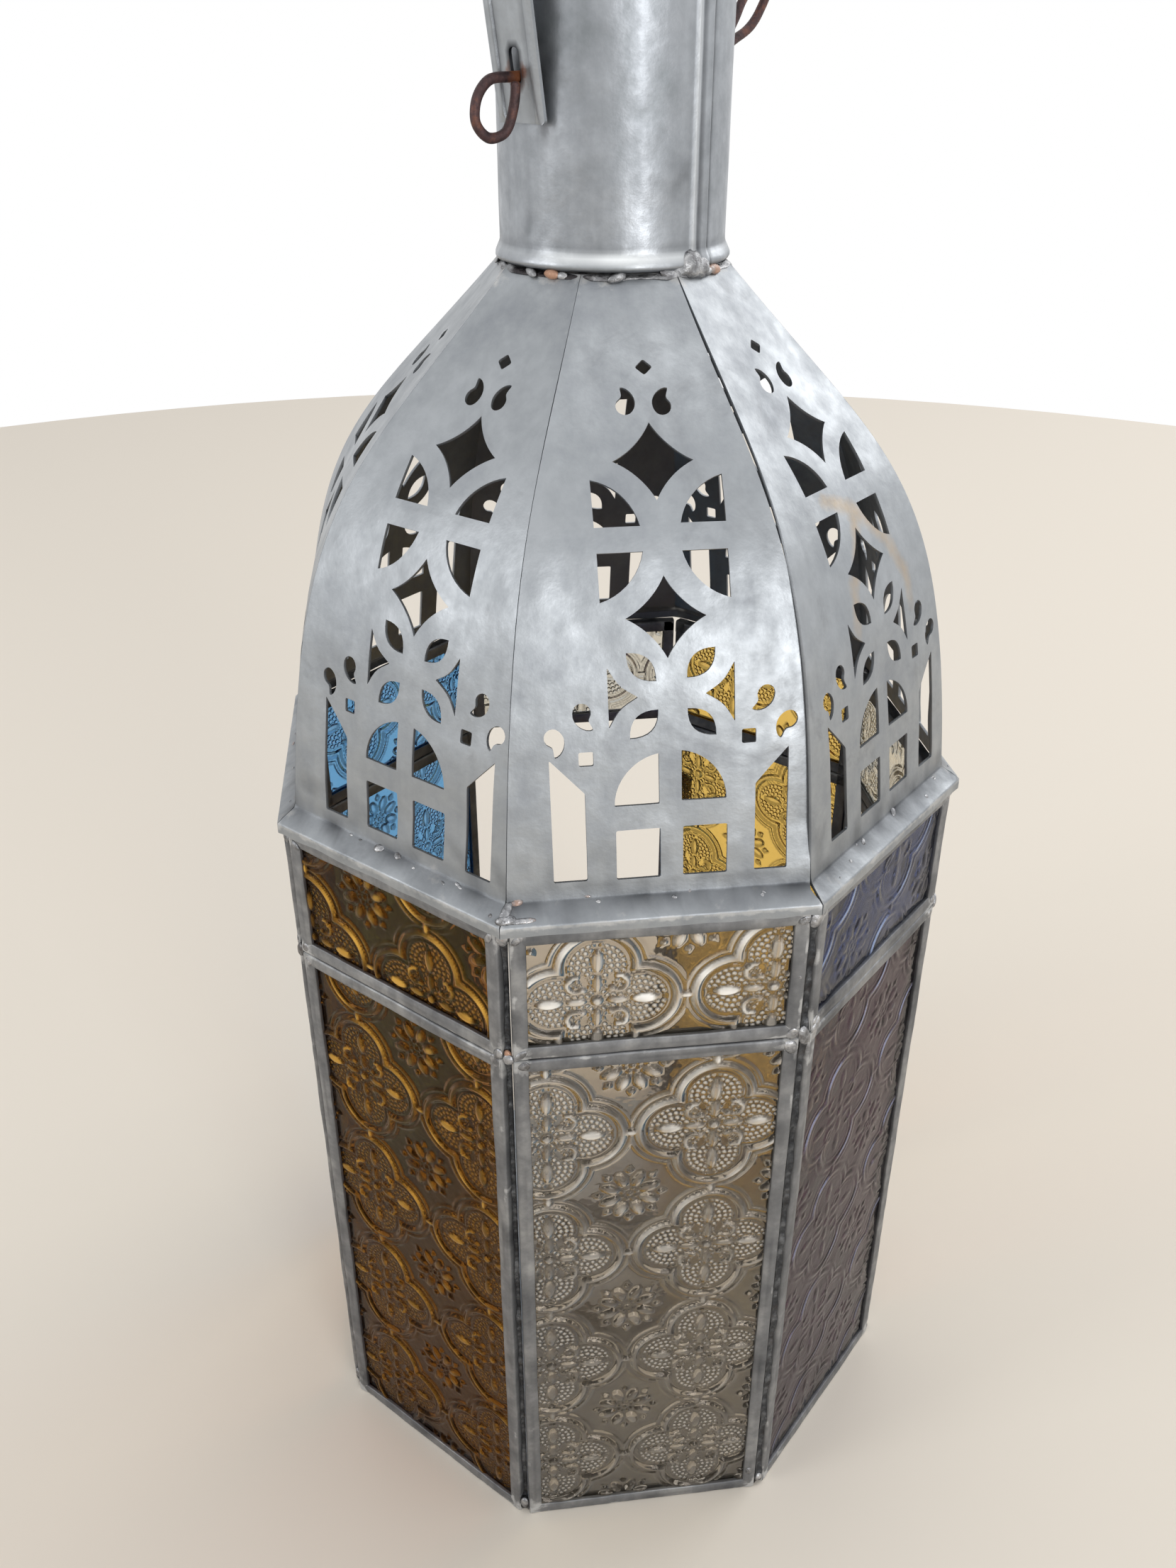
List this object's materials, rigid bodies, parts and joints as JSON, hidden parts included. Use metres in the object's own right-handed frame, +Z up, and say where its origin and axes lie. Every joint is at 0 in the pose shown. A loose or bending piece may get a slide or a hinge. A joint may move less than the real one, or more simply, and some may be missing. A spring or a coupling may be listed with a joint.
{
  "type": "oriental candle lantern",
  "caption": "Eight-sided standing or hanging candle lantern of tinned sheet metal with embossed coloured panes, a pierced domed top, a chimney neck, a strap handle and a hinged glass door.",
  "frame": {"origin": "middle of the base plate's underside, on the surface that the lantern stands on", "axes": "+Z up along the neck's axis; the clear front face looks towards -Y and the door is in the back face, towards +Y"},
  "size_m": [0.1922, 0.2669, 0.5101],
  "materials": {
    "sheet_metal": "dull grey tinned sheet, hand cut, folded and soldered, with stains",
    "neck_metal": "smoother galvanised sheet with a soft sheen",
    "solder": "dull soft solder in runs and blobs",
    "rusty_wire": "dark iron wire with brown rust",
    "glass_clear": "clear embossed glass, a little green",
    "glass_amber": "amber embossed glass",
    "glass_blue": "blue embossed glass"
  },
  "bodies": {
    "lantern": {"base_plate": "sheet_metal", "candle_cup": "sheet_metal", "band_frame_front": "sheet_metal", "band_pane_front": "glass_clear", "band_frame_front_left": "sheet_metal", "band_pane_front_left": "glass_amber", "band_frame_left": "sheet_metal", "band_pane_left": "glass_clear", "band_frame_back_left": "sheet_metal", "band_pane_back_left": "glass_blue", "band_frame_back": "sheet_metal", "band_pane_back": "glass_clear", "band_frame_back_right": "sheet_metal", "band_pane_back_right": "glass_amber", "band_frame_right": "sheet_metal", "band_pane_right": "glass_clear", "band_frame_front_right": "sheet_metal", "band_pane_front_right": "glass_blue", "lower_frame_front": "sheet_metal", "lower_pane_front": "glass_clear", "lower_frame_front_left": "sheet_metal", "lower_pane_front_left": "glass_amber", "lower_frame_left": "sheet_metal", "lower_pane_left": "glass_clear", "lower_frame_back_left": "sheet_metal", "lower_pane_back_left": "glass_blue", "lower_frame_back_right": "sheet_metal", "lower_pane_back_right": "glass_amber", "lower_frame_right": "sheet_metal", "lower_pane_right": "glass_clear", "lower_frame_front_right": "sheet_metal", "lower_pane_front_right": "glass_blue", "corner_solder_front_to_front_left": "solder", "corner_solder_front_left_to_left": "solder", "corner_solder_left_to_back_left": "solder", "corner_solder_back_right_to_right": "solder", "corner_solder_right_to_front_right": "solder", "corner_solder_front_right_to_front": "solder", "dome_panel_front": "sheet_metal", "dome_panel_front_left": "sheet_metal", "dome_panel_left": "sheet_metal", "dome_panel_back_left": "sheet_metal", "dome_panel_back": "sheet_metal", "dome_panel_back_right": "sheet_metal", "dome_panel_right": "sheet_metal", "dome_panel_front_right": "sheet_metal", "neck_tube": "neck_metal", "neck_solder": "solder", "wire_eye_right": "rusty_wire", "wire_eye_left": "rusty_wire", "hinge_leaf_post_lower": "sheet_metal", "hinge_leaf_post_upper": "sheet_metal", "hinge_wire": "rusty_wire", "button_rivet": "neck_metal"},
    "door": {"door_frame": "sheet_metal", "door_pane": "glass_clear", "hinge_leaf_door_lower": "sheet_metal", "hinge_leaf_door_upper": "sheet_metal"},
    "turn_button": {"turn_button": "sheet_metal"},
    "handle": {"handle_strap": "sheet_metal"}
  },
  "joints": [
    {"name": "door_hinge", "type": "hinge", "parent": "lantern", "child": "door", "pos_m": [0.03951, 0.09539, 0.097], "axis": [0, 0, 1], "range_deg": [-75, 105]},
    {"name": "button_turn", "type": "hinge", "parent": "lantern", "child": "turn_button", "pos_m": [0, 0.096, 0.196], "axis": [0, -1, 0], "continuous": true},
    {"name": "handle_swing", "type": "hinge", "parent": "lantern", "child": "handle", "pos_m": [0, 0, 0.414], "axis": [0.7986, 0.6018, 0], "range_deg": [-129, 129]}
  ]
}
